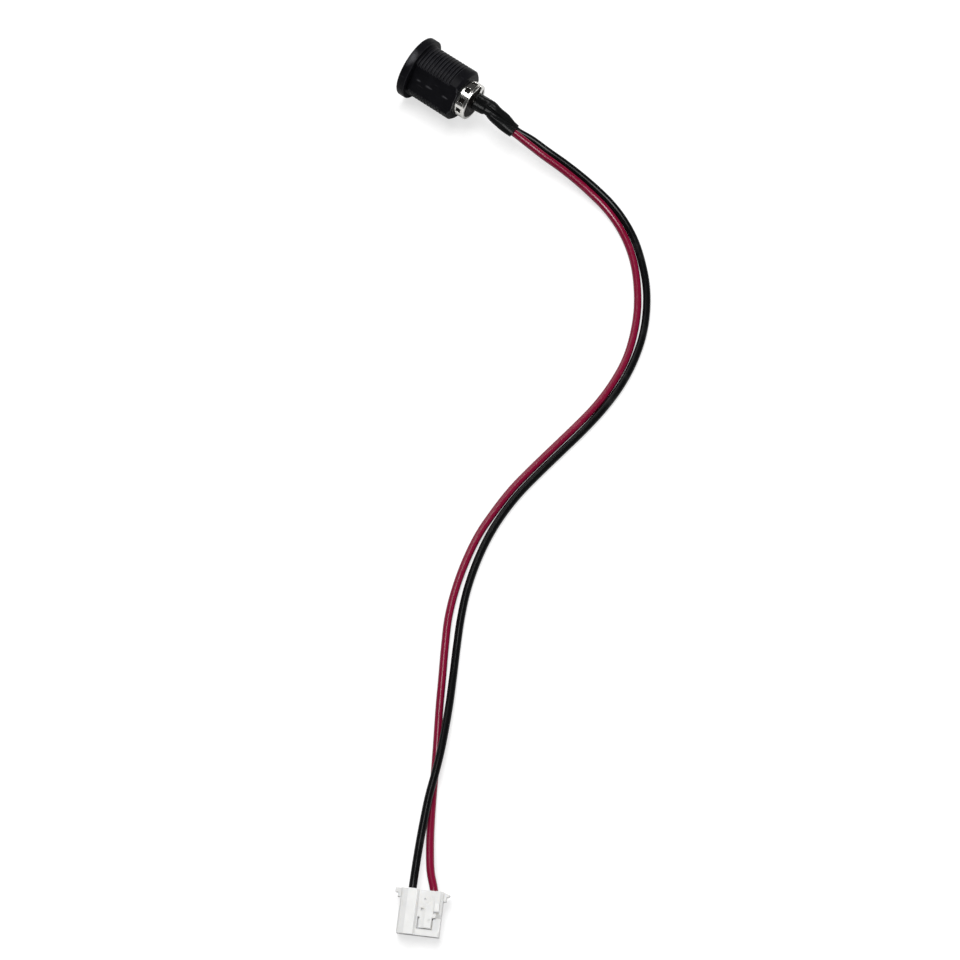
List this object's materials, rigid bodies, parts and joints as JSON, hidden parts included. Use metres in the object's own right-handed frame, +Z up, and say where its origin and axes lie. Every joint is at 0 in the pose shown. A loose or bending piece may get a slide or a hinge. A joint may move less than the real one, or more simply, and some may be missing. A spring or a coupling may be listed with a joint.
{
  "type": "dc charging port",
  "caption": "Panel power jack for a barrel plug, with a red and a black wire that leave it through a shrunk sleeve and end in a white crimp plug.",
  "frame": {"origin": "on the jack's axis, in the plane of the flange's rear face", "axes": "+X along the jack's axis to its rear, +Z up; the flange's rim, the wires and the plug's front edge lie on one level surface"},
  "size_m": [0.1104, 0.1524, 0.013],
  "materials": {
    "body_plastic": "satin black moulding",
    "insulator_plastic": "satin black moulding",
    "nickel_plate": "bright nickel plate",
    "spring_bronze": "bare bronze leaf",
    "pin_plate": "nickel-plated brass",
    "solder": "dull solder",
    "strands": "tinned copper strands",
    "shrink_sleeve": "satin black sleeve",
    "red_insulation": "glossy crimson insulation",
    "black_insulation": "glossy black insulation",
    "housing_nylon": "milky white nylon",
    "terminal_tin": "tin-plated sheet"
  },
  "bodies": {
    "root": {"jack_body": "body_plastic", "contact_shell": "nickel_plate", "contact_spring": "spring_bronze", "rear_insulator": "insulator_plastic", "centre_pin": "pin_plate", "pin_solder": "solder", "shell_solder": "solder", "red_strands": "strands", "black_strands": "strands", "lug_sleeve": "shrink_sleeve", "heat_shrink": "shrink_sleeve", "red_wire": "red_insulation", "black_wire": "black_insulation", "plug_housing": "housing_nylon", "red_terminal": "terminal_tin", "black_terminal": "terminal_tin", "red_crimped_strands": "strands", "black_crimped_strands": "strands"}
  },
  "joints": []
}
